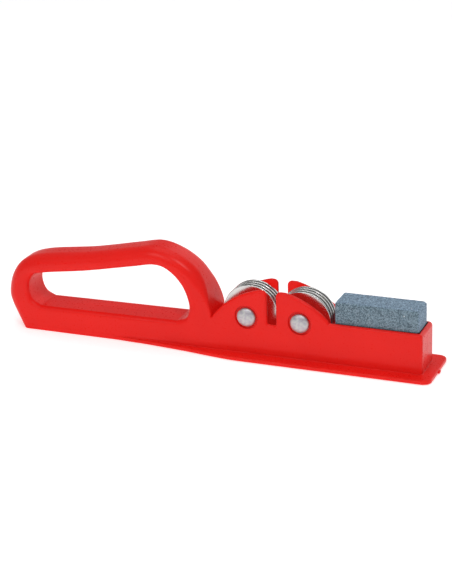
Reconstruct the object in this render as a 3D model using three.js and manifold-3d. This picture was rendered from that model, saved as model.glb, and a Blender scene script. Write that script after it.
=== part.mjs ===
// A hand-held knife sharpener with a loop handle: one red moulding carries two stacks
// of round steel discs, whose rims cross under a narrow slot for the blade, and a whetstone.
import * as THREE from "three";
import { mergeVertices } from "three/addons/utils/BufferGeometryUtils.js";
import Module from "manifold-3d";

const wasm = await Module();
wasm.setup();

// Driving dimensions in millimetres. X runs along the tool, from the handle to the stone,
// Y across it, and Z up from the flat base. The origin is under the middle of the length.
const toolLength = 190;
const handleEnd = -toolLength / 2;
const bodyWidth = 16;
const mouldingRadius = 0.9;

const flange = { end: 94.3, width: 27.9, thickness: 1.6, cornerRadius: 3.5, edge: 0.4 };
const gateMark = { width: 2, height: 1, centre: 0.9 };

const handle = { crestX: -25.3, crestZ: 42.35, edgeInPlane: 3.2, edgeAcross: 4 };

const housing = { start: -6, end: 89.5, rim: 18.4, endRadius: 1.6 };
const crotch = { x: 0, z: 15.3 };
const knifeSlot = { centre: 26.65, width: 4.2, floor: 14.8, floorRadius: 1.3, mouthRadius: 2 };
const ear = { centre: 26.95, top: 29.4, topOffset: 5.6, midOffset: 18, midHeight: 24, footOffset: 26.95 };
const earFootSlope = 0.93;

const well = { start: 2.8, end: 51.2, floor: 4.2 };
const seat = { start: 52.5, end: 87.8, floor: 8 };
const pocketWidth = 12.6;
const ribTop = 13.5;

const stone = { length: 34.6, width: 12.4, top: 27.25, cornerRadius: 1.6, edge: 1.1, gap: 0.3 };

const axle = { rearX: 15.6, spacing: 23, height: 17.2, radius: 2.5, boreClearance: 0.06 };
const rivet = { headRadius: 4, rimThickness: 0.7, domeHeight: 1.4, seatDepth: 0.8, seatGap: 0.05 };
const tenon = { radius: 1.9, length: 1.4, clearance: 0.05, shoulderGap: 0.1 };
const counterboreRadius = 4.95;
const wallBoreClearance = 0.12;

const disc = { radius: 11.85, thickness: 0.9, chamfer: 0.15, perAxle: 4, pitch: 2.07 };
const rearStackMiddle = 1.2;
const spacer = { radius: 4, endPlay: 0.1, boreClearance: 0.05 };

const discSegments = 40;
const rivetSegments = 32;
const ringSegments = 24;
const halfBody = bodyWidth / 2;
const halfPocket = pocketWidth / 2;
const frontAxleX = axle.rearX + axle.spacing;

// Solids and geometries

function solidOf(geometry) {
  const bare = geometry.clone();
  bare.deleteAttribute("normal");
  bare.deleteAttribute("uv");
  const merged = mergeVertices(bare, 1e-4);
  const vertProperties = new Float32Array(merged.attributes.position.array);
  const triVerts = new Uint32Array(merged.index.array);
  return new wasm.Manifold(new wasm.Mesh({ numProp: 3, vertProperties, triVerts }));
}

function geometryOf(solid) {
  const mesh = solid.getMesh();
  const geometry = new THREE.BufferGeometry();
  geometry.setAttribute("position", new THREE.BufferAttribute(mesh.vertProperties, 3));
  geometry.setIndex(new THREE.BufferAttribute(mesh.triVerts, 1));
  geometry.computeVertexNormals();
  return geometry;
}

// An outline in X and Z becomes a solid that is centred across Y.
function extrudeAcross(shape, width, edge) {
  const edgeAcross = edge ? edge.across : 0;
  const geometry = new THREE.ExtrudeGeometry(shape, {
    depth: width - 2 * edgeAcross,
    curveSegments: 5,
    bevelEnabled: Boolean(edge),
    bevelThickness: edgeAcross,
    bevelSize: edge ? edge.inPlane : 0,
    bevelOffset: edge ? -edge.inPlane : 0,
    bevelSegments: edge ? edge.segments : 1,
  });
  geometry.translate(0, 0, edgeAcross - width / 2);
  geometry.rotateX(Math.PI / 2);
  return geometry;
}

// An outline in X and Y becomes a slab between two heights, with rounded edges.
function extrudeUp(shape, bottom, top, edge) {
  const geometry = new THREE.ExtrudeGeometry(shape, {
    depth: top - bottom - 2 * edge,
    curveSegments: 6,
    bevelThickness: edge,
    bevelSize: edge,
    bevelOffset: -edge,
    bevelSegments: 2,
  });
  geometry.translate(0, 0, bottom + edge);
  return geometry;
}

// Points of the circular arc from a, through b, to c.
function arcThrough(a, b, c, steps) {
  const crossTerm = 2 * (a.x * (b.y - c.y) + b.x * (c.y - a.y) + c.x * (a.y - b.y));
  const [aa, bb, cc] = [a, b, c].map((point) => point.lengthSq());
  const centre = new THREE.Vector2(
    (aa * (b.y - c.y) + bb * (c.y - a.y) + cc * (a.y - b.y)) / crossTerm,
    (aa * (c.x - b.x) + bb * (a.x - c.x) + cc * (b.x - a.x)) / crossTerm,
  );
  const radius = a.distanceTo(centre);
  const from = Math.atan2(a.y - centre.y, a.x - centre.x);
  const to = Math.atan2(c.y - centre.y, c.x - centre.x);
  const points = [];
  for (let step = 1; step <= steps; step += 1) {
    const angle = from + ((to - from) * step) / steps;
    points.push(new THREE.Vector2(centre.x + radius * Math.cos(angle), centre.y + radius * Math.sin(angle)));
  }
  return points;
}

function turned(points, segments) {
  const profile = points.map(([radius, along]) => new THREE.Vector2(radius, along));
  return new THREE.LatheGeometry(profile, segments);
}

function rodAcross(radius, from, to, x, z) {
  const rod = turned([[0, from], [radius, from], [radius, to], [0, to]], rivetSegments);
  rod.translate(x, 0, z);
  return rod;
}

function roundedRectangle(x0, y0, x1, y1, radius) {
  const shape = new THREE.Shape();
  shape.absarc(x1 - radius, y0 + radius, radius, -Math.PI / 2, 0);
  shape.absarc(x1 - radius, y1 - radius, radius, 0, Math.PI / 2);
  shape.absarc(x0 + radius, y1 - radius, radius, Math.PI / 2, Math.PI);
  shape.absarc(x0 + radius, y0 + radius, radius, Math.PI, 1.5 * Math.PI);
  shape.closePath();
  return shape;
}

const vector = (x, y) => new THREE.Vector2(x, y);

// The moulding

// The loop rises gently from the end of the handle to a crest above the front leg.
function handleOutline() {
  const below = -5;
  const shape = new THREE.Shape();
  shape.moveTo(housing.start + 14, below);
  shape.lineTo(housing.start + 14, crotch.z - 4);
  shape.lineTo(crotch.x + 0.6, crotch.z - 2);
  shape.splineThru([
    vector(crotch.x - 0.2, crotch.z + 2.2),
    vector(-1.4, 23),
    vector(-3.6, 28.8),
    vector(-8.2, 34.9),
    vector(-16, 39.9),
    vector(handle.crestX, handle.crestZ),
    vector(-36, 40.5),
    vector(-56, 36.5),
    vector(-78, 33.4),
    vector(-87.5, 29.8),
    vector(-92.8, 23.4),
    vector(handleEnd, 15),
    vector(-93.6, 9),
  ]);
  shape.lineTo(-85.1, below);
  shape.closePath();
  shape.holes.push(fingerHole());
  return shape;
}

function fingerHole() {
  const hole = new THREE.Path();
  hole.moveTo(-16, 11.5);
  hole.lineTo(-79, 10.8);
  hole.splineThru([
    vector(-83.2, 13.2),
    vector(-84.7, 18.5),
    vector(-83, 23.6),
    vector(-77.5, 25.8),
    vector(-57, 28.9),
    vector(-36, 33),
    vector(-25, 35),
    vector(-18.5, 33),
    vector(-12.8, 27),
    vector(-10.1, 19),
    vector(-11.4, 13.6),
    vector(-16, 11.5),
  ]);
  hole.closePath();
  return hole;
}

// Side view of the housing: the rim, and two ears that end at the knife slot.
function housingOutline() {
  const below = -4;
  const { centre, width, floor, floorRadius, mouthRadius } = knifeSlot;
  const slotRear = centre - width / 2;
  const slotFront = centre + width / 2;
  const earPoint = (offset, height) => vector(ear.centre + offset, height);
  const earCorner = [mouthRadius, ear.top - mouthRadius];
  const rearEar = arcThrough(
    vector(crotch.x, crotch.z),
    earPoint(-ear.midOffset, ear.midHeight),
    earPoint(-ear.topOffset, ear.top),
    10,
  );
  const frontEar = arcThrough(
    earPoint(ear.topOffset, ear.top),
    earPoint(ear.midOffset, ear.midHeight),
    earPoint(ear.footOffset, crotch.z),
    12,
  ).filter((point) => point.y > housing.rim + 0.4);
  const rimMeets = ear.centre + ear.footOffset - (housing.rim - crotch.z) * earFootSlope;
  const endArc = [housing.end - housing.endRadius, housing.rim - housing.endRadius];

  const shape = new THREE.Shape();
  shape.moveTo(housing.start, below);
  shape.lineTo(housing.start, crotch.z - 3);
  shape.lineTo(crotch.x - 1.5, crotch.z);
  shape.lineTo(crotch.x, crotch.z);
  rearEar.forEach((point) => shape.lineTo(point.x, point.y));
  shape.lineTo(slotRear - mouthRadius, ear.top);
  shape.absarc(slotRear - earCorner[0], earCorner[1], mouthRadius, Math.PI / 2, 0, true);
  shape.absarc(slotRear + floorRadius, floor + floorRadius, floorRadius, Math.PI, 1.5 * Math.PI);
  shape.absarc(slotFront - floorRadius, floor + floorRadius, floorRadius, 1.5 * Math.PI, 2 * Math.PI);
  shape.absarc(slotFront + earCorner[0], earCorner[1], mouthRadius, Math.PI, Math.PI / 2, true);
  shape.lineTo(ear.centre + ear.topOffset, ear.top);
  frontEar.forEach((point) => shape.lineTo(point.x, point.y));
  shape.lineTo(rimMeets, housing.rim);
  shape.absarc(...endArc, housing.endRadius, Math.PI / 2, 0, true);
  shape.lineTo(housing.end, below);
  shape.closePath();
  return shape;
}

// Side view of the pocket: a deep well for the discs, a rib, and a raised seat for the stone.
function pocketOutline() {
  const above = 60;
  const shape = new THREE.Shape();
  shape.moveTo(well.start, above);
  shape.lineTo(well.start, well.floor);
  shape.lineTo(well.end, well.floor);
  shape.lineTo(well.end, ribTop);
  shape.lineTo(seat.start, ribTop);
  shape.lineTo(seat.start, seat.floor);
  shape.lineTo(seat.end, seat.floor);
  shape.lineTo(seat.end, above);
  shape.closePath();
  return shape;
}

// The flange under the housing narrows in a long curve to the width of the handle.
function flangeOutline() {
  const { end, width, cornerRadius } = flange;
  const half = width / 2;
  const taper = [[14, half], [3, 13], [-12, 10.9], [-30, 9.1], [-50, halfBody - 0.3]];
  const shape = new THREE.Shape();
  const side = (sign) => taper.map(([x, y]) => vector(x, sign * y));
  shape.moveTo(taper[0][0], -half);
  shape.absarc(end - cornerRadius, cornerRadius - half, cornerRadius, -Math.PI / 2, 0);
  shape.absarc(end - cornerRadius, half - cornerRadius, cornerRadius, 0, Math.PI / 2);
  shape.lineTo(taper[0][0], half);
  shape.splineThru(side(1).slice(1));
  shape.lineTo(taper[4][0], -taper[4][1]);
  shape.splineThru(side(-1).reverse().slice(1));
  shape.closePath();
  return shape;
}

function sharpenerBody() {
  const handleEdge = { inPlane: handle.edgeInPlane, across: handle.edgeAcross, segments: 3 };
  const housingEdge = { inPlane: mouldingRadius, across: mouldingRadius, segments: 2 };
  const nubLength = toolLength / 2 - flange.end + 1;
  const nub = new THREE.BoxGeometry(nubLength, gateMark.width, gateMark.height);
  nub.translate(toolLength / 2 - nubLength / 2, 0, gateMark.centre);
  const underBase = new THREE.BoxGeometry(toolLength + 40, 80, 20);
  underBase.translate(0, 0, -10);

  let body = solidOf(extrudeAcross(handleOutline(), bodyWidth, handleEdge));
  body = body.add(solidOf(extrudeAcross(housingOutline(), bodyWidth, housingEdge)));
  body = body.add(solidOf(extrudeUp(flangeOutline(), -2, flange.thickness, flange.edge)));
  body = body.add(solidOf(nub));
  body = body.subtract(solidOf(extrudeAcross(pocketOutline(), pocketWidth)));
  body = body.subtract(solidOf(underBase));

  const boreRadius = axle.radius + wallBoreClearance;
  const seatFace = halfBody - rivet.seatDepth;
  for (const x of [axle.rearX, frontAxleX]) {
    body = body.subtract(solidOf(rodAcross(boreRadius, -bodyWidth, bodyWidth, x, axle.height)));
    body = body.subtract(solidOf(rodAcross(counterboreRadius, -bodyWidth, -seatFace, x, axle.height)));
    body = body.subtract(solidOf(rodAcross(counterboreRadius, seatFace, bodyWidth, x, axle.height)));
  }
  return geometryOf(body);
}

// The stone, the rivets and the discs

function whetstone() {
  const start = seat.start + stone.gap;
  const halfWidth = stone.width / 2;
  const plan = roundedRectangle(start, -halfWidth, start + stone.length, halfWidth, stone.cornerRadius);
  return extrudeUp(plan, seat.floor + stone.gap, stone.top, stone.edge);
}

// Half profile of a domed head, from its rim to the top of the dome; outward is -1 or 1.
function domeProfile(face, outward) {
  const { headRadius, rimThickness, domeHeight } = rivet;
  const steps = 4;
  const points = [[headRadius, face], [headRadius, face + outward * rimThickness]];
  for (let step = 1; step <= steps; step += 1) {
    const angle = (step / steps) * (Math.PI / 2);
    const rise = rimThickness + domeHeight * Math.sin(angle);
    points.push([headRadius * Math.cos(angle), face + outward * rise]);
  }
  points[points.length - 1][0] = 0;
  return points;
}

function axleRivet() {
  const face = -(halfBody - rivet.seatDepth) - rivet.seatGap;
  const shoulder = halfBody - rivet.seatDepth - tenon.shoulderGap;
  const tip = shoulder + tenon.length;
  const head = domeProfile(face, -1).reverse();
  const shank = [[axle.radius, face], [axle.radius, shoulder]];
  const end = [[tenon.radius, shoulder], [tenon.radius, tip], [0, tip]];
  return turned([...head, ...shank, ...end], rivetSegments);
}

function rivetCap() {
  const face = halfBody - rivet.seatDepth + rivet.seatGap;
  const bore = tenon.radius + tenon.clearance;
  const boreEnd = face + tenon.length - tenon.clearance;
  return turned([[0, boreEnd], [bore, boreEnd], [bore, face], ...domeProfile(face, 1)], rivetSegments);
}

function sharpeningDisc(middle) {
  const { radius, thickness, chamfer } = disc;
  const bore = axle.radius + axle.boreClearance;
  const low = middle - thickness / 2;
  const high = middle + thickness / 2;
  const nearSide = [[bore, low], [radius - chamfer, low], [radius, low + chamfer]];
  const farSide = [[radius, high - chamfer], [radius - chamfer, high], [bore, high], [bore, low]];
  return turned([...nearSide, ...farSide], discSegments);
}

function spacerRing(from, to) {
  const bore = axle.radius + spacer.boreClearance;
  const outside = [[spacer.radius, from], [spacer.radius, to]];
  return turned([[bore, from], ...outside, [bore, to], [bore, from]], ringSegments);
}

// Finishes

const finishes = {
  redPlastic: { color: "#E12A24", roughness: 0.35, metalness: 0 },
  grit: { color: "#7C8FA0", roughness: 0.95, metalness: 0 },
  rivetMetal: { color: "#D4D6D8", roughness: 0.3, metalness: 1 },
  discSteel: { color: "#C3C6C9", roughness: 0.2, metalness: 1 },
  spacerSteel: { color: "#A9ACAF", roughness: 0.35, metalness: 1 },
};

const sharpener = new THREE.Group();

function place(name, geometry, finish, x = 0, z = 0) {
  const mesh = new THREE.Mesh(geometry, new THREE.MeshStandardMaterial(finishes[finish]));
  mesh.name = name;
  mesh.position.set(x, 0, z);
  sharpener.add(mesh);
}

// One axle: a rivet and its cap, the discs, the rings between them and a sleeve on each side.
function addAxle(name, x, stackMiddle) {
  const halfDisc = disc.thickness / 2;
  const first = stackMiddle - ((disc.perAxle - 1) / 2) * disc.pitch;
  const last = stackMiddle + ((disc.perAxle - 1) / 2) * disc.pitch;
  const play = halfDisc + spacer.endPlay;
  const wall = halfPocket - spacer.endPlay;
  place(`${name}_axle_rivet`, axleRivet(), "rivetMetal", x, axle.height);
  place(`${name}_rivet_cap`, rivetCap(), "rivetMetal", x, axle.height);
  for (let index = 0; index < disc.perAxle; index += 1) {
    const middle = first + index * disc.pitch;
    place(`${name}_disc_${index + 1}`, sharpeningDisc(middle), "discSteel", x, axle.height);
    if (index > 0) {
      const ring = spacerRing(middle - disc.pitch + play, middle - play);
      place(`${name}_ring_${index}`, ring, "spacerSteel", x, axle.height);
    }
  }
  place(`${name}_near_sleeve`, spacerRing(-wall, first - play), "spacerSteel", x, axle.height);
  place(`${name}_far_sleeve`, spacerRing(last + play, wall), "spacerSteel", x, axle.height);
}

place("sharpener_body", sharpenerBody(), "redPlastic");
place("whetstone", whetstone(), "grit");
addAxle("rear", axle.rearX, rearStackMiddle);
addAxle("front", frontAxleX, rearStackMiddle - disc.pitch / 2);

export default sharpener;
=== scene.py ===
import math

import bmesh
import bpy
from mathutils import Matrix, Vector, noise


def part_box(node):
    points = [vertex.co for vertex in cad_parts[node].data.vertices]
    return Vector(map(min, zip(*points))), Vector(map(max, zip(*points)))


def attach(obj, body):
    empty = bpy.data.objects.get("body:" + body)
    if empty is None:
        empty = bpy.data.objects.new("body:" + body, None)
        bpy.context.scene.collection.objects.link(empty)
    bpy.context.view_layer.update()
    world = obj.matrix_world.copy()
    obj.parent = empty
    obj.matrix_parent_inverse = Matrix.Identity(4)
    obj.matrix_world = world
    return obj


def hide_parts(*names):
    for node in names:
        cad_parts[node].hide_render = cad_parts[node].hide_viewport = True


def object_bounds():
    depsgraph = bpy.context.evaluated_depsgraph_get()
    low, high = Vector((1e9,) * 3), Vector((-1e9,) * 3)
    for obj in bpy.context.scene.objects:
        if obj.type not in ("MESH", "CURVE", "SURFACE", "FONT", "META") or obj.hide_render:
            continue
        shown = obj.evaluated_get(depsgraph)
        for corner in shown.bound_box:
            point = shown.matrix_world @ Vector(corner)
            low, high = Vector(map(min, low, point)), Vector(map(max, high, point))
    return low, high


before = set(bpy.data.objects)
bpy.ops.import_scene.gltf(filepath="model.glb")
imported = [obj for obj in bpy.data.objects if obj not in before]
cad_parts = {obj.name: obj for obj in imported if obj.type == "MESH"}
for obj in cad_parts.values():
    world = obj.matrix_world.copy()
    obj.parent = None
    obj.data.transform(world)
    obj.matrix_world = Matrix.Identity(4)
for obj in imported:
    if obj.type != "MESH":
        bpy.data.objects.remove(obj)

mm = 0.001
cadLow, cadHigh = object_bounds()
rootBody = "sharpener"


def linearFromHex(text):
    channels = [int(text[i:i + 2], 16) / 255 for i in (1, 3, 5)]
    return [c / 12.92 if c <= 0.04045 else ((c + 0.055) / 1.055) ** 2.4 for c in channels] + [1.0]


def boxCentre(node):
    low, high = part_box(node)
    return (Vector(low) + Vector(high)) / 2


# ---- shader helper ----
def addNode(tree, kind, settings=None, links=None):
    node = tree.nodes.new("ShaderNode" + kind)
    for name, value in (settings or {}).items():
        if isinstance(name, int):
            node.inputs[name].default_value = value
        elif name.startswith("in:"):
            node.inputs[name[3:]].default_value = value
        elif name.startswith("ramp"):
            stops = node.color_ramp.elements
            while len(stops) < len(value):
                stops.new(0.5)
            for stop, (place, colour) in zip(stops, value):
                stop.position = place
                stop.color = colour
        else:
            setattr(node, name, value)
    for socket, source in (links or {}).items():
        tree.links.new(source, node.inputs[socket])
    return node


def newMaterial(name, viewHex):
    material = bpy.data.materials.new(name)
    material.use_nodes = True
    material.diffuse_color = linearFromHex(viewHex)
    tree = material.node_tree
    shader = tree.nodes["Principled BSDF"]
    place = addNode(tree, "TexCoord").outputs["Object"]
    return material, tree, shader, place


def perMetre(size):
    return 1 / (size * mm)  # a texture scale that gives features of this many millimetres


pocket = {  # the well under the discs and the seat of the stone
    "half": 6.3, "wellStart": 2.8, "wellEnd": 51.2, "wellFloor": 4.2, "ribTop": 13.5,
    "seatStart": 52.65, "seatEnd": 87.7, "seatFloor": 8.0, "rimAbove": 14.5, "rimSoftness": 0.32,
}


# ---- materials ----
mouldedAbs = {
    "colour": "#E8201A", "deep": "#E31E19",  # red ABS, pigmented right through
    "ior": 1.53, "roughness": 0.27, "specular": 0.14,  # a satin skin, which scatters much of the gloss
    "flowMarks": 22.0, "flowDepth": 0.25,  # mm and strength of slow waves in the sheen, from the mould's flow
    "sparkErosion": 0.9, "sparkDepth": 0.02,  # mm, the mould's fine texture, drawn coarser so that it shows
    "glow": 0.15, "glowDepth": 3.0,  # thin walls let some red light through, over these millimetres
    "glowReach": (1.0, 0.12, 0.08),  # red goes furthest
    "through": 0.38,  # painted glow: the pocket's inside emits red light of its own, standing in for daylight through its walls, which keeps it a bright dark red
    "throughMargin": (0.2, 0.02, 0.1),  # mm past the pocket's own size, along, across and below, that the painted glow reaches
}


def makeMouldedAbs():
    m = mouldedAbs
    material, tree, shader, place = newMaterial("red moulded ABS", m["colour"])
    flow = addNode(tree, "TexNoise", {"in:Scale": perMetre(m["flowMarks"]), "in:Detail": 2.0},
                   {"Vector": place})
    tint = addNode(tree, "ValToRGB", {"ramp": [
        (0.35, linearFromHex(m["deep"])), (0.65, linearFromHex(m["colour"]))]},
        {"Fac": flow.outputs["Fac"]})
    grain = addNode(tree, "TexNoise", {"in:Scale": perMetre(m["sparkErosion"]), "in:Detail": 3.0},
                    {"Vector": place})
    sheen = addNode(tree, "MapRange", {
        "in:To Min": m["roughness"] - 0.04, "in:To Max": m["roughness"] + 0.08},
        {"Value": grain.outputs["Fac"]})
    wave = addNode(tree, "Bump", {"in:Strength": m["flowDepth"], "in:Distance": 0.4 * mm},
                   {"Height": flow.outputs["Fac"]})
    skin = addNode(tree, "Bump", {"in:Strength": m["sparkDepth"], "in:Distance": 0.05 * mm},
                   {"Height": grain.outputs["Fac"], "Normal": wave.outputs["Normal"]})
    tree.links.new(tint.outputs["Color"], shader.inputs["Base Color"])
    tree.links.new(sheen.outputs["Result"], shader.inputs["Roughness"])
    tree.links.new(skin.outputs["Normal"], shader.inputs["Normal"])
    shader.inputs["IOR"].default_value = m["ior"]
    shader.inputs["Specular IOR Level"].default_value = m["specular"]
    shader.inputs["Subsurface Weight"].default_value = m["glow"]
    shader.inputs["Subsurface Radius"].default_value = m["glowReach"]
    shader.inputs["Subsurface Scale"].default_value = m["glowDepth"] * mm
    shader.inputs["Emission Color"].default_value = linearFromHex(m["colour"])
    # painted glow: the red emission is switched on only inside the pocket, in place of light passing through
    # the walls
    split = addNode(tree, "SeparateXYZ", {}, {"Vector": place})
    middle = (pocket["wellStart"] + pocket["wellEnd"]) / 2
    reach = (pocket["wellEnd"] - pocket["wellStart"]) / 2
    marginAlong, marginAcross, marginBelow = m["throughMargin"]
    along = addNode(tree, "Math", {"operation": "COMPARE", 1: middle * mm, 2: (reach + marginAlong) * mm},
                    {0: split.outputs["X"]})
    across = addNode(tree, "Math", {"operation": "COMPARE", 1: 0.0, 2: (pocket["half"] + marginAcross) * mm},
                     {0: split.outputs["Y"]})
    above = addNode(tree, "Math", {"operation": "GREATER_THAN", 1: (pocket["wellFloor"] - marginBelow) * mm},
                    {0: split.outputs["Z"]})
    between = addNode(tree, "Math", {"operation": "MULTIPLY"}, {0: along.outputs[0], 1: across.outputs[0]})
    inside = addNode(tree, "Math", {"operation": "MULTIPLY"}, {0: between.outputs[0], 1: above.outputs[0]})
    through = addNode(tree, "Math", {"operation": "MULTIPLY", 1: m["through"]}, {0: inside.outputs[0]})
    tree.links.new(through.outputs[0], shader.inputs["Emission Strength"])
    return material


bondedGrit = {
    "dark": "#4E5F6F", "binder": "#758DA1", "light": "#9AB1C6",  # blue-grey abrasive, worn smooth on the top
    "paintedSideShade": "#DDDED6",  # painted shade: multiplies the sides that face across, so that they look darker and greyer than the top
    "fresh": "#D6D6DA",  # a few broken grains
    "grain": 0.37,  # mm across a grain, coarser than the real grit so that it shows
    "chip": 0.8, "chipShare": 0.02,  # mm from chip to chip, and how many of those places have one
    "chipReach": 0.3,  # how far a chip spreads over its place
    "patch": 6.0, "patchShift": 0.06,  # mm and change of shade where the mix was pressed less
    "relief": 0.4, "reliefDepth": 0.12,  # strength and mm of the pits between the grains
    "roughness": 0.94, "ior": 1.6,
}


def makeBondedGrit():
    m = bondedGrit
    material, tree, shader, place = newMaterial("bonded aluminium oxide grit", m["binder"])
    grain = addNode(tree, "TexVoronoi", {"in:Scale": perMetre(m["grain"])}, {"Vector": place})
    shade = addNode(tree, "SeparateColor", {}, {"Color": grain.outputs["Color"]})
    patch = addNode(tree, "TexNoise", {"in:Scale": perMetre(m["patch"]), "in:Detail": 3.0},
                    {"Vector": place})
    shift = addNode(tree, "MapRange", {"in:To Min": -m["patchShift"], "in:To Max": m["patchShift"]},
                    {"Value": patch.outputs["Fac"]})
    mixed = addNode(tree, "Math", {"operation": "ADD"}, {0: shade.outputs[0], 1: shift.outputs["Result"]})
    shades = [(k / 2, linearFromHex(m[name])) for k, name in enumerate(("dark", "binder", "light"))]
    colour = addNode(tree, "ValToRGB", {"ramp": shades}, {"Fac": mixed.outputs[0]})
    # painted shade: faces that point across the stone are multiplied by a darker grey, so the sides look
    # darker than the top
    facing = addNode(tree, "SeparateXYZ", {}, {"Vector": place.node.outputs["Normal"]})
    across = addNode(tree, "Math", {"operation": "ABSOLUTE"}, {0: facing.outputs["Y"]})
    sideways = addNode(tree, "MapRange", {"in:From Min": 0.35, "in:From Max": 0.85},
                       {"Value": across.outputs[0]})
    paintedSideShade = addNode(tree, "Mix", {
        "data_type": "RGBA", "blend_type": "MULTIPLY", 7: linearFromHex(m["paintedSideShade"])},
        {0: sideways.outputs["Result"], 6: colour.outputs["Color"]})
    spot = addNode(tree, "TexVoronoi", {"in:Scale": perMetre(m["chip"])}, {"Vector": place})
    lot = addNode(tree, "SeparateColor", {}, {"Color": spot.outputs["Color"]})
    drawn = addNode(tree, "Math", {"operation": "LESS_THAN", 1: m["chipShare"]}, {0: lot.outputs[0]})
    near = addNode(tree, "Math", {"operation": "LESS_THAN", 1: m["chipReach"]}, {0: spot.outputs["Distance"]})
    chip = addNode(tree, "Math", {"operation": "MULTIPLY"}, {0: drawn.outputs[0], 1: near.outputs[0]})
    chipped = addNode(tree, "Mix", {"data_type": "RGBA", 7: linearFromHex(m["fresh"])},
                      {0: chip.outputs[0], 6: paintedSideShade.outputs[2]})
    fine = addNode(tree, "TexNoise", {"in:Scale": perMetre(m["grain"]), "in:Detail": 4.0},
                   {"Vector": place})
    relief = {"in:Strength": m["relief"], "in:Distance": m["reliefDepth"] * mm}
    pits = addNode(tree, "Bump", relief, {"Height": grain.outputs["Distance"]})
    rough = addNode(tree, "Bump", relief, {"Height": fine.outputs["Fac"], "Normal": pits.outputs["Normal"]})
    tree.links.new(chipped.outputs[2], shader.inputs["Base Color"])
    tree.links.new(rough.outputs["Normal"], shader.inputs["Normal"])
    shader.inputs["Roughness"].default_value = m["roughness"]
    shader.inputs["IOR"].default_value = m["ior"]
    return material


def makeTurnedMetal(name, m):
    # rings of marks about the axle, which runs along the piece's own Y
    material, tree, shader, place = newMaterial(name, m["tint"])
    split = addNode(tree, "SeparateXYZ", {}, {"Vector": place})
    flat = addNode(tree, "CombineXYZ", {}, {"X": split.outputs["X"], "Z": split.outputs["Z"]})
    radius = addNode(tree, "VectorMath", {"operation": "LENGTH"}, {0: flat.outputs[0]})
    lineUp = addNode(tree, "CombineXYZ", {}, {"X": radius.outputs["Value"], "Y": split.outputs["Y"]})
    marks = addNode(tree, "TexNoise", {"in:Scale": perMetre(m["lineSize"]), "in:Detail": 3.0},
                    {"Vector": lineUp.outputs[0]})
    smudge = addNode(tree, "TexNoise", {"in:Scale": perMetre(m["smudge"]), "in:Detail": 3.0},
                     {"Vector": place})
    rough = addNode(tree, "MapRange", {
        "in:To Min": m["roughness"] * 0.75, "in:To Max": m["roughness"] * 1.3},
        {"Value": smudge.outputs["Fac"]})
    dents = addNode(tree, "Bump", {"in:Strength": m["dents"], "in:Distance": 0.15 * mm},
                    {"Height": smudge.outputs["Fac"]})
    groove = addNode(tree, "Bump", {"in:Strength": m["lineDepth"], "in:Distance": 0.05 * mm},
                     {"Height": marks.outputs["Fac"], "Normal": dents.outputs["Normal"]})
    tint = addNode(tree, "ValToRGB", {"ramp": [
        (0.35, linearFromHex(m["shade"])), (0.62, linearFromHex(m["tint"]))]}, {"Fac": smudge.outputs["Fac"]})
    tree.links.new(tint.outputs["Color"], shader.inputs["Base Color"])
    tree.links.new(rough.outputs["Result"], shader.inputs["Roughness"])
    tree.links.new(groove.outputs["Normal"], shader.inputs["Normal"])
    shader.inputs["Metallic"].default_value = 1.0
    return material


# lineSize and smudge are millimetres; the turned lines are drawn coarser than real so that they show
toolSteel = {  # ground and polished, so that it mirrors the red walls beside it
    "tint": "#D2D1CF", "shade": "#C4C5C4", "roughness": 0.22,
    "lineSize": 0.4, "lineDepth": 0.03, "smudge": 3.5, "dents": 0.0,
}
mildSteel = {  # turned and left grey
    "tint": "#B9BBBD", "shade": "#A4A7AA", "roughness": 0.34,
    "lineSize": 0.2, "lineDepth": 0.3, "smudge": 2.0, "dents": 0.0,
}
headedMetal = {  # tumbled after heading, so that its satin is mottled and faintly violet
    "tint": "#C9CAC7", "shade": "#B3AFB8", "roughness": 0.5,
    "lineSize": 0.9, "lineDepth": 0.15, "smudge": 1.3, "dents": 0.35,
}

redAbs = makeMouldedAbs()
gritStone = makeBondedGrit()
polishedSteel = makeTurnedMetal("polished tool steel", toolSteel)
turnedSteel = makeTurnedMetal("turned mild steel", mildSteel)
headedAluminium = makeTurnedMetal("cold headed aluminium", headedMetal)
print("materials made")


# ---- mesh helpers ----
def pieceFrom(name, bm, material, smoothAngle=35):
    bmesh.ops.recalc_face_normals(bm, faces=bm.faces)
    mesh = bpy.data.meshes.new(name)
    bm.to_mesh(mesh)
    bm.free()
    piece = bpy.data.objects.new(name, mesh)
    bpy.context.scene.collection.objects.link(piece)
    if material:
        mesh.materials.append(material)
    mesh.shade_smooth()
    mesh.set_sharp_from_angle(angle=math.radians(smoothAngle))
    return piece


def hand(piece, body, slot, *nodes):
    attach(piece, body)
    if nodes:
        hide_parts(*nodes)


def applyAll(piece):
    graph = bpy.context.evaluated_depsgraph_get()
    mesh = bpy.data.meshes.new_from_object(piece.evaluated_get(graph))
    old = piece.data
    piece.modifiers.clear()
    piece.data = mesh
    bpy.data.meshes.remove(old)


def carve(target, tool, operation):
    cut = target.modifiers.new("cut", "BOOLEAN")
    cut.object = tool
    cut.operation = operation
    cut.solver = "MANIFOLD"
    applyAll(target)
    bpy.data.objects.remove(tool)


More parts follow.
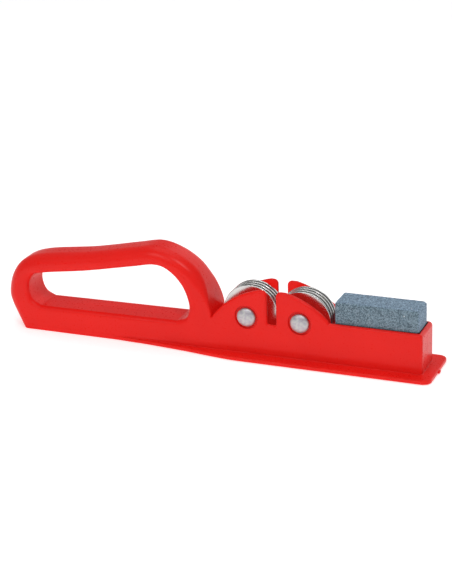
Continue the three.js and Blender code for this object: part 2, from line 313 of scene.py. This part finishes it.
def flatNormals(piece, smoothAngle=35):
    # each corner leans to the widest flat region around it, so that flat faces look flat up to their edges
    mesh = piece.data
    mesh.shade_smooth()
    mesh.set_sharp_from_angle(angle=math.radians(smoothAngle))
    bm = bmesh.new()
    bm.from_mesh(mesh)
    bm.normal_update()
    region, areas, sameFlat = {}, [], 0.99998
    for face in bm.faces:
        if face in region:
            continue
        region[face] = len(areas)
        waiting, total = [face], 0
        while waiting:
            here = waiting.pop()
            total += here.calc_area()
            for other in (f for edge in here.edges for f in edge.link_faces):
                if other not in region and other.normal.dot(face.normal) > sameFlat:
                    region[other] = len(areas)
                    waiting.append(other)
        areas.append(total)
    nearest = math.cos(math.radians(smoothAngle))
    normals = []
    for face in bm.faces:
        for corner in face.loops:
            around = [f for f in corner.vert.link_faces if f.normal.dot(face.normal) > nearest]
            normals.append(sum((f.normal * areas[region[f]] for f in around), Vector()).normalized())
    bm.free()
    mesh.normals_split_custom_set(normals)


def catmullRom(points, steps):
    out = [points[0]]
    for i in range(len(points) - 1):
        a, b = points[max(i - 1, 0)], points[i]
        c, d = points[i + 1], points[min(i + 2, len(points) - 1)]
        for k in range(1, steps + 1):
            t = k / steps
            out.append(tuple(
                0.5 * (2 * q + (r - p) * t + (2 * p - 5 * q + 4 * r - s) * t * t
                       + (3 * q - p - 3 * r + s) * t ** 3)
                for p, q, r, s in zip(a, b, c, d)))
    return out


def arcPoints(centre, radius, fromDegrees, toDegrees, steps):
    out = []
    for k in range(steps + 1):
        a = math.radians(fromDegrees + (toDegrees - fromDegrees) * k / steps)
        out.append((centre[0] + radius * math.cos(a), centre[1] + radius * math.sin(a)))
    return out


def arcThrough(a, b, c, steps):
    cross = 2 * (a[0] * (b[1] - c[1]) + b[0] * (c[1] - a[1]) + c[0] * (a[1] - b[1]))
    aa, bb, cc = (p[0] ** 2 + p[1] ** 2 for p in (a, b, c))
    centre = ((aa * (b[1] - c[1]) + bb * (c[1] - a[1]) + cc * (a[1] - b[1])) / cross,
              (aa * (c[0] - b[0]) + bb * (a[0] - c[0]) + cc * (b[0] - a[0])) / cross)
    angles = [math.degrees(math.atan2(p[1] - centre[1], p[0] - centre[0])) for p in (a, c)]
    return arcPoints(centre, math.dist(a, centre), angles[0], angles[1], steps)


def turnedPiece(name, profile, segments, material):
    # profile points are (radius, along the axle) in millimetres and close on themselves or end on the axis
    bm = bmesh.new()
    rings = []
    for radius, along in profile:
        if radius < 1e-6:
            rings.append([bm.verts.new((0, along * mm, 0))])
            continue
        ring = []
        for k in range(segments):
            a = 2 * math.pi * k / segments
            ring.append(bm.verts.new((radius * mm * math.cos(a), along * mm, radius * mm * math.sin(a))))
        rings.append(ring)
    closed = profile[0][0] > 1e-6
    pairs = list(zip(rings, rings[1:])) + ([(rings[-1], rings[0])] if closed else [])
    for one, two in pairs:
        for k in range(segments):
            n = (k + 1) % segments
            corners = [one[k % len(one)], one[n % len(one)], two[n % len(two)], two[k % len(two)]]
            unique = list(dict.fromkeys(corners))
            if len(unique) > 2:
                bm.faces.new(unique)
    return pieceFrom(name, bm, material)


# ---- the red moulding ----
body = {
    "halfWidth": 8.0,
    "tail": [  # the back of the loop, x and z, from the crotch over the crest to the tail
        (0.05, 15.4), (-0.25, 17.8), (-1.4, 23), (-3.5, 28.9), (-8.0, 35.1), (-15.9, 40.15), (-25.3, 42.6),
        (-36, 40.75), (-56, 36.75), (-78, 33.65), (-87.6, 30), (-92.9, 23.5), (-95, 15), (-93.6, 9)],
    "heel": (-85.1, -5),  # the slanted end runs on below the base, and is cut off there
    "hole": [
        (-16, 11.5), (-79, 10.8), (-83.2, 13.2), (-84.7, 18.5), (-83, 23.6), (-77.5, 25.8), (-57, 28.9),
        (-36, 33), (-25, 35), (-18.5, 33), (-12.8, 27), (-10.1, 19), (-11.4, 13.6), (-16, 11.5)],
    "loopEdge": (4.9, 5.2),  # rounding of the loop, in the side view and across
    "housingEdge": 1.1, "crotchEdge": 0.7, "slotRearEdge": 1.15, "slotFloorEdge": 0.95, "slotFrontEdge": 0.8,
    "end": 89.5, "rim": 18.4, "endRadius": 1.6, "endEdge": 1.3,
    "slotMiddle": 26.5, "slotWidth": 4.05, "slotFloor": 14.8, "slotFloorRadius": 1.3, "slotMouthRadius": 2.0,
    "earMiddle": 26.95, "earTop": 29.4, "earTopOffset": 5.6, "earMid": (18, 24.0), "earFoot": (26.95, 15.3),
    "earFootSlope": 0.93,
    "holeEdge": (1.9, 2.2),  # rounding of the hole along its floor and along the rest
    "partingLine": (0.14, 0.045),  # half width and height of the line where the mould halves met
    "roundingSteps": 7,
    "loopStart": (17, 34),  # heights between which the rounding grows from the crotch's to the loop's
    "holeStart": (12, 18),  # and from the hole's floor to its sides
}


def growth(height, span):
    return min(max((height - span[0]) / (span[1] - span[0]), 0), 1)


def mouldingOutline():
    # points of the side view, each with the rounding that the moulding has there
    b = body
    edge, mouth, floorR = b["housingEdge"], b["slotMouthRadius"], b["slotFloorRadius"]
    rear, front = b["slotMiddle"] - b["slotWidth"] / 2, b["slotMiddle"] + b["slotWidth"] / 2
    middle, top, floor = b["earMiddle"], b["earTop"], b["slotFloor"] + floorR
    (midOff, midZ), (footOff, footZ) = b["earMid"], b["earFoot"]
    out = [(b["heel"], edge), ((b["end"], b["heel"][1]), b["endEdge"])]
    endArc = arcPoints((b["end"] - b["endRadius"], b["rim"] - b["endRadius"]), b["endRadius"], 0, 90, 6)
    out += [(p, b["endEdge"] + (edge - b["endEdge"]) * k / 6) for k, p in enumerate(endArc)]
    out.append(((middle + footOff - (b["rim"] - footZ) * b["earFootSlope"], b["rim"]), edge))
    topOff = b["earTopOffset"]
    ear = arcThrough((middle + footOff, footZ), (middle + midOff, midZ), (middle + topOff, top), 34)
    out += [(p, edge) for p in ear if p[1] > b["rim"] + 0.5]
    mouthArc = arcPoints((front + mouth, top - mouth), mouth, 90, 180, 8)
    out += [(p, edge + (b["slotFrontEdge"] - edge) * k / 8) for k, p in enumerate(mouthArc)]
    frontFoot = arcPoints((front - floorR, floor), floorR, 0, -90, 6)
    rearFoot = arcPoints((rear + floorR, floor), floorR, -90, -180, 6)
    out += [(p, b["slotFrontEdge"] + (b["slotFloorEdge"] - b["slotFrontEdge"]) * k / 6)
            for k, p in enumerate(frontFoot)]
    out += [(p, b["slotFloorEdge"] + (b["slotRearEdge"] - b["slotFloorEdge"]) * k / 6)
            for k, p in enumerate(rearFoot)]
    out += [(p, b["slotRearEdge"]) for p in arcPoints((rear - mouth, top - mouth), mouth, 0, 90, 8)]
    ear = arcThrough((middle - topOff, top), (middle - midOff, midZ), (0, footZ), 34)
    out += [(p, edge) for p in ear[:-1]]
    for p in catmullRom(b["tail"], 9):
        grow = growth(p[1], b["loopStart"]) if p[0] > -20 else 1
        grow = grow * grow * (3 - 2 * grow)
        out.append((p, b["crotchEdge"] + (b["loopEdge"][0] - b["crotchEdge"]) * grow))
    return out


def roundedRings(bm, outline):
    # rings of vertices from the near face, round its edge, over the side and on to the far face
    b, half = body, body["halfWidth"]
    count = len(outline)
    mitres = []
    for i in range(count):
        before, here, after = (Vector(outline[j % count][0]) for j in (i - 1, i, i + 1))
        one, two = (here - before).normalized(), (after - here).normalized()
        left = Vector((-one.y, one.x)) + Vector((-two.y, two.x))
        left = left.normalized()
        mitres.append(left / max(left.dot(Vector((-one.y, one.x))), 0.6))
    steps = b["roundingSteps"]
    stretch = b["loopEdge"][1] / b["loopEdge"][0]
    rings = []
    line, rise = b["partingLine"]
    sections = [("near", math.radians(90 - 90 * k / steps)) for k in range(steps + 1)]
    sections += [("flat", v) for v in (-line, 0, line)]
    sections += [("far", math.radians(90 * k / steps)) for k in range(steps + 1)]
    for kind, value in sections:
        ring = []
        for ((x, z), edge), mitre in zip(outline, mitres):
            grow = (edge - b["crotchEdge"]) / (b["loopEdge"][0] - b["crotchEdge"])
            across = edge * (1 + (stretch - 1) * min(max(grow, 0), 1))
            if kind == "flat":
                inset, y = (-rise if value == 0 else 0), value
            else:
                inset = edge * (1 - math.cos(value))
                y = (half - across * (1 - math.sin(value))) * (-1 if kind == "near" else 1)
            ring.append(bm.verts.new(((x + mitre.x * inset) * mm, y * mm, (z + mitre.y * inset) * mm)))
        rings.append(ring)
    for one, two in zip(rings, rings[1:]):
        for i in range(count):
            n = (i + 1) % count
            bm.faces.new((one[i], one[n], two[n], two[i]))
    return rings[0], rings[-1]


def fillFace(bm, loops):
    edges = []
    for loop in loops:
        for i in range(len(loop)):
            edges.append(bm.edges.get((loop[i], loop[(i + 1) % len(loop)])))
    bmesh.ops.triangle_fill(bm, edges=edges, use_beauty=True, use_dissolve=False)


def gateNub():
    # what is left of the gate that the plastic came in through, broken off by hand
    g = gateMark
    bm = bmesh.new()
    bmesh.ops.create_cube(bm, size=1)
    bmesh.ops.subdivide_edges(bm, edges=bm.edges, cuts=5, use_grid_fill=True)
    start = flange["end"] - g["root"]
    for v in bm.verts:
        along = v.co.x + 0.5
        ragged = noise.noise(v.co * g["tear"]) * g["raggedness"] * along
        v.co = Vector((start + along * (g["root"] + g["length"] - 0.12) + ragged,
                       g["side"] + v.co.y * g["width"] * (1.15 - g["narrows"] * along) + ragged,
                       g["middle"] + v.co.z * g["height"] * (1.1 - g["thins"] * along) + ragged)) * mm
    return pieceFrom("gate nub", bm, None)


def boxTool(name, low, high):
    bm = bmesh.new()
    bmesh.ops.create_cube(bm, size=1)
    for v in bm.verts:
        v.co = Vector([(l + (h - l) * (c + 0.5)) * mm for l, h, c in zip(low, high, v.co)])
    return pieceFrom(name, bm, None)


def prismTool(name, outline, halfWidth):
    bm = bmesh.new()
    near = [bm.verts.new((x * mm, -halfWidth * mm, z * mm)) for x, z in outline]
    far = [bm.verts.new((x * mm, halfWidth * mm, z * mm)) for x, z in outline]
    for i in range(len(outline)):
        n = (i + 1) % len(outline)
        bm.faces.new((near[i], near[n], far[n], far[i]))
    bm.faces.new(near)
    bm.faces.new(far)
    return pieceFrom(name, bm, None)


flange = {
    "end": 94.3, "half": 13.95, "corner": 3.5, "thick": 1.6, "lip": 0.45, "cove": 0.25, "endCorner": 1.3,
    "undercut": 0.45,  # the lower edge is rounded too, and leaves a thin shadow
    "taper": [(14, 13.95), (3, 13.0), (-12, 10.9), (-30, 9.1), (-50, 7.7)],  # x and half width
    "below": -2.0,  # it starts under the base, and is cut off there with the rest
    "intoWall": 0.7,
}


def flangeSkirt():
    f, half = flange, body["halfWidth"]
    taper = catmullRom([(40, f["half"])] + f["taper"], 8)[8:]
    straight = f["end"] - f["corner"]
    wallEnd, wallCorner = body["end"], f["endCorner"]
    stations = [((x, y), (x, min(half, y - 0.5))) for x, y in reversed(taper)]
    for k in range(1, 9):
        t = k / 8
        start = f["taper"][0][0]
        stations.append(((start + (straight - start) * t, f["half"]),
                         (start + (wallEnd - wallCorner - start) * t, half)))
    outer = arcPoints((straight, f["half"] - f["corner"]), f["corner"], 90, 0, 8)
    inner = arcPoints((wallEnd - wallCorner, half - wallCorner), wallCorner, 90, 0, 8)
    stations += list(zip(outer, inner))[1:]
    path = [((ox, -oy), (ix, -iy)) for (ox, oy), (ix, iy) in stations]
    path += [((ox, oy), (ix, iy)) for (ox, oy), (ix, iy) in reversed(stations)]
    bm = bmesh.new()
    rows = []
    for outerPoint, innerPoint in path:
        o, i = Vector(outerPoint), Vector(innerPoint)
        length = (i - o).length
        d = (i - o).normalized()
        lip = min(f["lip"], 0.4 * length)
        cove = min(f["cove"], 0.35 * length)
        under = min(f["undercut"], 0.4 * length)
        foot = o + d * under
        section = [(foot, f["below"]), (foot, 0.0), (o + d * under * 0.3, under * 0.3), (o, under),
                   (o, f["thick"] - lip)]
        for k in range(1, 5):
            a = math.radians(22.5 * k)
            section.append((o + d * lip * (1 - math.cos(a)), f["thick"] - lip + lip * math.sin(a)))
        for k in range(6):
            a = math.radians(17 * k)
            section.append((i - d * cove * (1 - math.sin(a)), f["thick"] + cove * (1 - math.cos(a))))
        inWall = i + d * f["intoWall"]
        section += [(inWall, f["thick"] + cove), (inWall, f["below"])]
        rows.append([bm.verts.new((p.x * mm, p.y * mm, z * mm)) for p, z in section])
    for one, two in zip(rows, rows[1:]):
        for k in range(len(one)):
            n = (k + 1) % len(one)
            bm.faces.new((one[k], one[n], two[n], two[k]))
    bm.faces.new(rows[0])
    bm.faces.new(rows[-1])
    return pieceFrom("flange", bm, None)


cutReach = 20  # mm, how far the tools for the bores and recesses stand out from the moulding
recess = {"radius": 4.85, "depth": 0.8, "softness": 0.42, "bore": 2.62}
gateMark = {
    "length": 0.75, "width": 2.0, "height": 1.0, "side": -0.7, "middle": 0.62, "root": 0.6,
    "narrows": 0.4, "thins": 0.45, "tear": 3.1, "raggedness": 0.26,
}


def axleTool(name, profile, centre):
    tool = turnedPiece(name, profile, 96, None)
    tool.location = (centre.x, 0, centre.z)
    bpy.context.view_layer.update()
    return tool


def recessProfile(side):
    # the recess widens in a quarter round where it meets the outer face
    r, half = recess, body["halfWidth"]
    soft, steps = r["softness"], 6
    mouth = [(r["radius"] + soft * (1 - math.sin(a)), half - soft * (1 - math.cos(a)))
             for a in (math.radians(90 * k / steps) for k in range(steps + 1))]
    floor = half - r["depth"]
    points = [(0, cutReach), (r["radius"] + soft, cutReach)] + mouth + [(r["radius"], floor), (0, floor)]
    return [(radius, along * side) for radius, along in points]


def softenPocketRim(piece):
    p = pocket
    bm = bmesh.new()
    bm.from_mesh(piece.data)
    bmesh.ops.remove_doubles(bm, verts=bm.verts, dist=0.002 * mm)
    bm.normal_update()

    def onRim(edge):
        return all(v.co.z > p["rimAbove"] * mm and abs(v.co.y) < (p["half"] + 0.02) * mm
                   and v.co.x > (p["wellStart"] - 0.1) * mm for v in edge.verts)

    edges = [e for e in bm.edges if e.is_manifold and e.calc_face_angle(0) > math.radians(38) and onRim(e)]
    bmesh.ops.bevel(bm, geom=edges, offset=p["rimSoftness"] * mm, segments=3, profile=0.5, affect="EDGES",
                    clamp_overlap=False, loop_slide=True)
    bm.to_mesh(piece.data)
    bm.free()
    print("pocket rim edges", len(edges))


def buildMoulding():
    b, p, r = body, pocket, recess
    bm = bmesh.new()
    outer = roundedRings(bm, mouldingOutline())
    holePath = [b["hole"][0]] + catmullRom(b["hole"][1:], 9)
    low, high = b["holeEdge"]
    hole = roundedRings(bm, [(q, low + (high - low) * growth(q[1], b["holeStart"])) for q in holePath[:-1]])
    for face in (0, 1):
        fillFace(bm, [outer[face], hole[face]])
    moulding = pieceFrom("moulding", bm, redAbs)
    carve(moulding, flangeSkirt(), "UNION")
    carve(moulding, gateNub(), "UNION")
    carve(moulding, prismTool("pocket", [
        (p["wellStart"], 60), (p["wellStart"], p["wellFloor"]), (p["wellEnd"], p["wellFloor"]),
        (p["wellEnd"], p["ribTop"]), (p["seatStart"], p["ribTop"]), (p["seatStart"], p["seatFloor"]),
        (p["seatEnd"], p["seatFloor"]), (p["seatEnd"], 60)], p["half"]), "DIFFERENCE")
    for node in ("rear_axle_rivet", "front_axle_rivet"):
        centre = boxCentre(node)
        bore = [(0, -cutReach), (r["bore"], -cutReach), (r["bore"], cutReach), (0, cutReach)]
        carve(moulding, axleTool("bore", bore, centre), "DIFFERENCE")
        for side in (-1, 1):
            carve(moulding, axleTool("recess", recessProfile(side), centre), "DIFFERENCE")
    carve(moulding, boxTool("under base", (-120, -40, -20), (120, 40, 0)), "DIFFERENCE")
    softenPocketRim(moulding)
    flatNormals(moulding, 32)
    return moulding


moulding = buildMoulding()
hand(moulding, rootBody, "red_plastic", "sharpener_body")
print("moulding made", len(moulding.data.polygons), "faces")


# ---- the stone ----
stone = {
    "step": 0.5,  # mm between surface points
    "edge": 1.1, "roughness": 0.07, "chips": 0.5,  # mm of rounding, of grain relief and of edge wear
    "wearSize": 4.0, "grainSize": 0.9,  # mm, how far apart they come and go
    "proud": (0.25, 0, 0.35),  # mm by which the block fills its seat and stands over the plain CAD block
}


def buildStone():
    s = stone
    low, high = (Vector(c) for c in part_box("whetstone"))
    high += Vector(s["proud"]) * mm
    bm = bmesh.new()
    size = high - low
    counts = [max(2, round(v / (s["step"] * mm))) for v in size]
    verts = {}

    def vert(i, j, k):
        key = (i, j, k)
        if key not in verts:
            verts[key] = bm.verts.new([low[n] + size[n] * key[n] / counts[n] for n in range(3)])
        return verts[key]

    for axis in range(3):
        u, v = [n for n in range(3) if n != axis]
        for side in (0, counts[axis]):
            for i in range(counts[u]):
                for j in range(counts[v]):
                    corners = []
                    for di, dj in ((0, 0), (1, 0), (1, 1), (0, 1)):
                        key = [0, 0, 0]
                        key[axis], key[u], key[v] = side, i + di, j + dj
                        corners.append(vert(*key))
                    bm.faces.new(corners)
    r = s["edge"] * mm
    for v in bm.verts:
        core = Vector([min(max(v.co[n], low[n] + r), high[n] - r) for n in range(3)])
        out = (v.co - core).normalized()
        wear = noise.noise(v.co * perMetre(s["wearSize"])) * 0.5 + 0.5
        onEdge = sum(1 for n in range(3) if abs(v.co[n] - core[n]) > 0.3 * r) >= 2
        grain = noise.fractal(v.co * perMetre(s["grainSize"]), 0.7, 2.0, 3)
        lost = s["chips"] * mm * wear ** 3 if onEdge else 0
        v.co = core + out * (r - lost - s["roughness"] * mm * (1 - grain))
    return pieceFrom("whetstone_block", bm, gritStone, 80)


whetstone = buildStone()
hand(whetstone, rootBody, "grit_stone", "whetstone")
print("stone made")


# ---- discs, rings, sleeves and rivets, all turned about the two axles ----
disc = {"rimRound": 0.16, "bore": 2.56, "boreChamfer": 0.1, "segments": 160}
spacer = {"chamfer": 0.15, "bore": 2.54, "segments": 72}
rivetHead = {"rim": 0.55, "roll": 0.12, "fullness": 0.92, "segments": 96}
rivetShank = {"radius": 2.5, "shoulder": 0.1, "neck": 1.9, "tipChamfer": 0.15}
capBore = {"radius": 1.95, "depth": 1.35}


def onAxle(node):
    # radius, near and far faces of a node that is round about an axle, in millimetres
    low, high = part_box(node)
    return (high[0] - low[0]) / 2 / mm, low[1] / mm, high[1] / mm, boxCentre(node)


def putOnAxle(piece, centre, bodyName, slot, node):
    piece.location = (centre.x, 0, centre.z)
    bpy.context.view_layer.update()
    hand(piece, bodyName, slot, node)


def buildDisc(axle, index):
    node = f"{axle}_disc_{index}"
    radius, near, far, centre = onAxle(node)
    d, c, burr = disc, disc["rimRound"], disc["boreChamfer"]
    profile = [(d["bore"] + burr, near), (radius - 2.2 * c, near), (radius - 0.8 * c, near + 0.25 * c),
               (radius - 0.15 * c, near + 0.9 * c), (radius, near + 1.5 * c), (radius, far - 1.5 * c),
               (radius - 0.15 * c, far - 0.9 * c), (radius - 0.8 * c, far - 0.25 * c),
               (radius - 2.2 * c, far), (d["bore"] + burr, far), (d["bore"], far - burr),
               (d["bore"], near + burr)]
    piece = turnedPiece(f"{axle}_sharpening_disc_{index}", profile, d["segments"], polishedSteel)
    flatNormals(piece)
    putOnAxle(piece, centre, f"{axle}_wheel_{index}", "disc_steel", node)


def buildSpacer(node):
    radius, near, far, centre = onAxle(node)
    s, c = spacer, spacer["chamfer"]
    profile = [(s["bore"], near + 0.05), (s["bore"] + 0.08, near), (radius - c, near), (radius, near + c),
               (radius, far - c), (radius - c, far), (s["bore"] + 0.08, far), (s["bore"], far - 0.05)]
    piece = turnedPiece(node.replace("ring", "spacer_ring").replace("sleeve", "spacer_sleeve"), profile,
                        s["segments"], turnedSteel)
    flatNormals(piece)
    putOnAxle(piece, centre, rootBody, "spacer_steel", node)


def domeFrom(radius, face, height, outward):
    # a low domed head with a rolled rim, from the rim's underside to the top
    rim, roll = rivetHead["rim"], rivetHead["roll"]
    points = [(radius - roll, face), (radius, face + outward * roll), (radius, face + outward * rim * 0.8)]
    for k in range(1, 13):
        a = math.radians(90 * k / 12)
        points.append((radius * math.cos(a) ** rivetHead["fullness"] if k < 12 else 0,
                       face + outward * (rim + (height - rim) * math.sin(a))))
    return points


def buildRivet(axle):
    node = f"{axle}_axle_rivet"
    radius, near, far, centre = onAxle(node)
    seat = body["halfWidth"] - recess["depth"] + 0.05
    head = domeFrom(radius, -seat, -seat - near, -1)
    thick, step, neck, tip = (rivetShank[k] for k in ("radius", "shoulder", "neck", "tipChamfer"))
    shank = [(thick, -seat), (thick, seat - 1.5 * step), (thick - step, seat - step), (neck, seat - step),
             (neck, far - tip), (neck - tip, far), (0, far)]
    piece = turnedPiece(f"{axle}_rivet", head[::-1] + shank, rivetHead["segments"], headedAluminium)
    putOnAxle(piece, centre, rootBody, "rivet_metal", node)


def buildCap(axle):
    node = f"{axle}_rivet_cap"
    radius, near, far, centre = onAxle(node)
    bottom, wide = near + capBore["depth"], capBore["radius"]
    bore = [(0, bottom), (wide, bottom), (wide, near)]
    piece = turnedPiece(f"{axle}_cap", bore + domeFrom(radius, near, far - near, 1), rivetHead["segments"],
                        headedAluminium)
    putOnAxle(piece, centre, rootBody, "rivet_metal", node)


for axle in ("rear", "front"):
    buildRivet(axle)
    buildCap(axle)
    for index in range(1, 5):
        buildDisc(axle, index)
    for node in sorted(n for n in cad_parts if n.startswith(axle) and ("ring" in n or "sleeve" in n)):
        buildSpacer(node)
print("axles made")


# ---- floor, light and camera ----
studio = {
    "floor": "#F4F4F4", "glow": 0.42,  # white acrylic, lit from below as well
    "sky": 0.35, "window": 1.35,  # a dim room with a bright window behind the object's right end
    "windowSide": (-0.24, 0.02), "windowBack": (0.5, 0.82),  # a direction's x and y where it fades in
    "sheetHalf": 6, "sheetDrop": 0.15,  # metres, and the millimetres that it lies below the base
    "key": {"place": (-0.35, -1.0, 0.8), "size": 0.5, "power": 2.9},
    "top": {"place": (-0.1, 0.2, 1.15), "size": 0.9, "power": 3.2},
    "fill": {"place": (0.33, -0.52, 0.9), "size": 0.26, "power": 2.6},  # draws the light lines on round edges
}


def buildStudio():
    s = studio
    material, tree, shader, place = newMaterial("white acrylic sheet", s["floor"])
    tooth = addNode(tree, "TexNoise", {"in:Scale": perMetre(1.5), "in:Detail": 2.0}, {"Vector": place})
    matt = addNode(tree, "Bump", {"in:Strength": 0.04, "in:Distance": 0.05 * mm},
                   {"Height": tooth.outputs["Fac"]})
    shader.inputs["Base Color"].default_value = linearFromHex(s["floor"])
    shader.inputs["Roughness"].default_value = 0.9
    shader.inputs["Emission Color"].default_value = (1, 1, 1, 1)
    shader.inputs["Emission Strength"].default_value = s["glow"]
    tree.links.new(matt.outputs["Normal"], shader.inputs["Normal"])
    bm = bmesh.new()
    bmesh.ops.create_grid(bm, x_segments=8, y_segments=8, size=s["sheetHalf"])
    for v in bm.verts:
        v.co.z = -s["sheetDrop"] * mm
    floor = pieceFrom("floor", bm, material)
    world = bpy.data.worlds.new("soft white room")
    bpy.context.scene.world = world
    world.use_nodes = True
    sky = world.node_tree
    way = addNode(sky, "TexCoord").outputs["Generated"]
    split = addNode(sky, "SeparateXYZ", {}, {"Vector": way})
    edges = []
    for axis, span in (("X", s["windowSide"]), ("Y", s["windowBack"])):
        edges.append(addNode(sky, "MapRange", {
            "interpolation_type": "SMOOTHSTEP", "in:From Min": span[0], "in:From Max": span[1]},
            {"Value": split.outputs[axis]}).outputs["Result"])
    both = addNode(sky, "Math", {"operation": "MULTIPLY"}, {0: edges[0], 1: edges[1]})
    wall = addNode(sky, "MapRange", {"in:To Min": s["sky"], "in:To Max": s["window"]},
                   {"Value": both.outputs[0]})
    sky.nodes["Background"].inputs["Color"].default_value = (1, 1, 1, 1)
    sky.links.new(wall.outputs["Result"], sky.nodes["Background"].inputs["Strength"])
    for name in ("key", "top", "fill"):
        lamp = bpy.data.lights.new(name, "AREA")
        lamp.shape = "SQUARE"
        lamp.size = s[name]["size"]
        lamp.energy = s[name]["power"]
        holder = bpy.data.objects.new(name, lamp)
        bpy.context.scene.collection.objects.link(holder)
        holder.location = s[name]["place"]
        aim = Vector((0, 0, 0.02)) - holder.location
        holder.rotation_mode = "QUATERNION"
        holder.rotation_quaternion = aim.to_track_quat("-Z", "Y")
    bpy.context.scene.view_settings.view_transform = "Standard"


view = {"azimuth": 22.82, "elevation": 21.3, "roll": -2.14, "distance": 0.7071, "lens": 106.13,
        "aim": (3.9, 0, 2.8)}  # mm from the middle of the CAD box


def buildCamera():
    v = view
    azimuth, elevation, roll = (math.radians(v[k]) for k in ("azimuth", "elevation", "roll"))
    back = Vector((math.sin(azimuth) * math.cos(elevation), -math.cos(azimuth) * math.cos(elevation),
                   math.sin(elevation)))
    right = Vector((math.cos(azimuth), math.sin(azimuth), 0))
    up = back.cross(right)
    side = right * math.cos(roll) + up * math.sin(roll)
    top = up * math.cos(roll) - right * math.sin(roll)
    lens = bpy.data.cameras.new("camera")
    lens.lens = v["lens"]
    camera = bpy.data.objects.new("camera", lens)
    bpy.context.scene.collection.objects.link(camera)
    aim = (Vector(cadLow) + Vector(cadHigh)) / 2 + Vector(v["aim"]) * mm
    camera.matrix_world = Matrix.Translation(aim + back * v["distance"]) @ Matrix(
        (side, top, back)).transposed().to_4x4()
    bpy.context.scene.camera = camera


buildStudio()
buildCamera()
print("studio and camera made")
